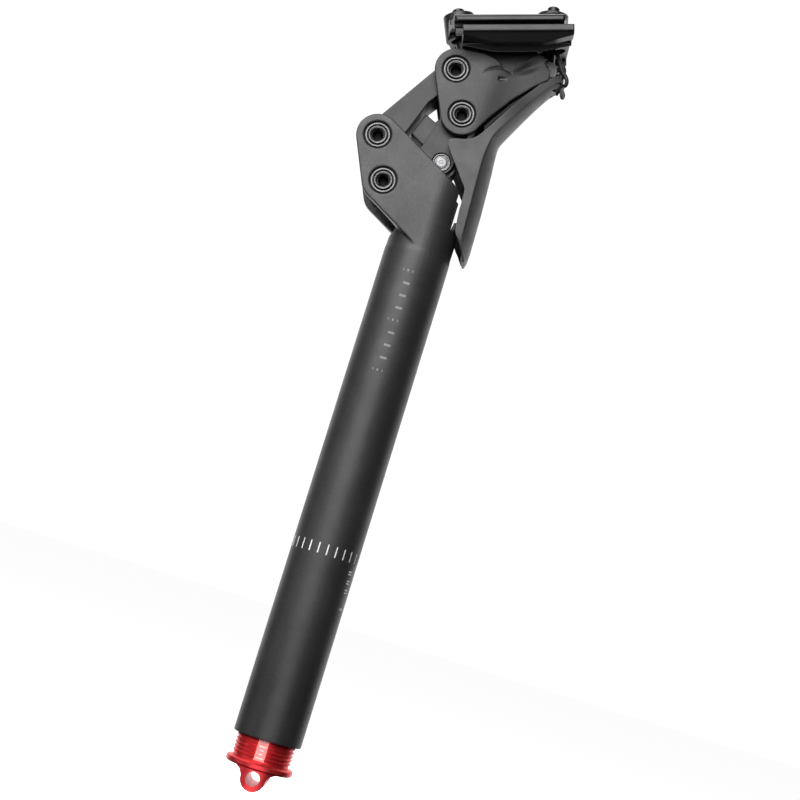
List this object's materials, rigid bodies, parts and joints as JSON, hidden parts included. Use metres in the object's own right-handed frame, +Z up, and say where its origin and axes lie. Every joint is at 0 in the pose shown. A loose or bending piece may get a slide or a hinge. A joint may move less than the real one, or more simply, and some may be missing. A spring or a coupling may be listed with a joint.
{
  "type": "suspension seatpost",
  "caption": "Straight seatpost tube with a sprung parallelogram linkage at the top, a rail clamp on the linkage and a preload plug in the lower end.",
  "frame": {"origin": "tube axis at the tube's lower end", "axes": "+Z up the tube, +X towards the back of the bicycle, -Y the bicycle's left side"},
  "size_m": [0.0778, 0.0532, 0.3374],
  "materials": {
    "black_anodised": "fine bead-blasted black anodised",
    "head_aluminium": "satin black anodised forging",
    "link_aluminium": "satin black anodised forging",
    "clamp_aluminium": "satin black anodised",
    "dark_aluminium": "machined, dark",
    "red_anodised": "machined, red anodised",
    "bare_steel": "ground",
    "bright_steel": "ground and polished",
    "screw_steel": "black oxide with worn rims",
    "ring_steel": "grey plated",
    "black_bolt": "black oxide",
    "spring_steel": "oiled spring wire",
    "bearing_plastic": "moulded bearing polymer",
    "guard_plastic": "satin moulded",
    "ring_rubber": "smooth"
  },
  "bodies": {
    "post": {"post_body": "black_anodised", "post_axles": "bare_steel", "post_screws": "screw_steel", "post_rings": "ring_steel", "guide_bush": "bearing_plastic", "main_spring": "spring_steel", "inner_spring": "spring_steel"},
    "upper_link": {"upper_link": "link_aluminium", "upper_bushings": "bearing_plastic"},
    "lower_link": {"lower_link": "link_aluminium", "lower_bushings": "bearing_plastic", "roller_pin": "bright_steel"},
    "roller": {"roller": "bare_steel"},
    "plunger": {"plunger": "bare_steel", "plunger_pad": "bright_steel", "spring_plate": "dark_aluminium"},
    "spring_seat": {"spring_seat": "dark_aluminium"},
    "preload_plug": {"preload_plug": "red_anodised"},
    "head": {"head": "head_aluminium", "head_axles": "bare_steel", "head_screws": "screw_steel", "head_rings": "ring_steel", "guard": "guard_plastic", "guard_ring": "ring_rubber", "front_bolt": "black_bolt", "rear_bolt": "black_bolt", "rear_barrel": "screw_steel"},
    "cradle": {"lower_cradle": "clamp_aluminium"},
    "top_clamp": {"top_clamp": "clamp_aluminium", "clamp_nuts": "screw_steel"}
  },
  "joints": [
    {"name": "upper_pivot", "type": "hinge", "parent": "post", "child": "upper_link", "pos_m": [-0.0288, 0, 0.2408], "axis": [0, 1, 0], "range_deg": [0, 52], "stiffness_Nm_per_rad": 24, "springref_deg": -57.3},
    {"name": "lower_pivot", "type": "hinge", "parent": "post", "child": "lower_link", "pos_m": [-0.0212, 0, 0.2235], "axis": [0, 1, 0], "range_deg": [0, 52]},
    {"name": "head_pivot", "type": "hinge", "parent": "upper_link", "child": "head", "pos_m": [-0.0065, 0, 0.276], "axis": [0, 1, 0], "range_deg": [-52, 0]},
    {"name": "roller_spin", "type": "hinge", "parent": "lower_link", "child": "roller", "pos_m": [-0.0013, 0, 0.2383], "axis": [0, 1, 0], "continuous": true},
    {"name": "plunger_slide", "type": "slide", "parent": "post", "child": "plunger", "axis": [0, 0, -1], "range_m": [0, 0.0214], "deforming": ["main_spring", "inner_spring"]},
    {"name": "plug_lift", "type": "slide", "parent": "post", "child": "spring_seat", "axis": [0, 0, 1], "range_m": [0, 0.00826], "deforming": ["main_spring", "inner_spring"]},
    {"name": "plug_turn", "type": "hinge", "parent": "spring_seat", "child": "preload_plug", "pos_m": [0, 0, 0], "axis": [0, 0, 1], "range_deg": [0, 1980]},
    {"name": "saddle_tilt", "type": "hinge", "parent": "head", "child": "cradle", "pos_m": [0.00741, 0, 0.31434], "axis": [0, 1, 0], "range_deg": [-4, 4]},
    {"name": "clamp_lift", "type": "slide", "parent": "cradle", "child": "top_clamp", "axis": [-0.2924, 0, 0.9563], "range_m": [0, 0.0025]}
  ],
  "couplings": [
    {"joint": "lower_pivot", "follows": "upper_pivot", "ratio": 1},
    {"joint": "head_pivot", "follows": "upper_pivot", "ratio": -1},
    {"joint": "plunger_slide", "follows": "upper_pivot", "m_per_rad": 0.02356},
    {"joint": "plug_lift", "follows": "plug_turn", "m_per_rad": 0.00023873}
  ]
}
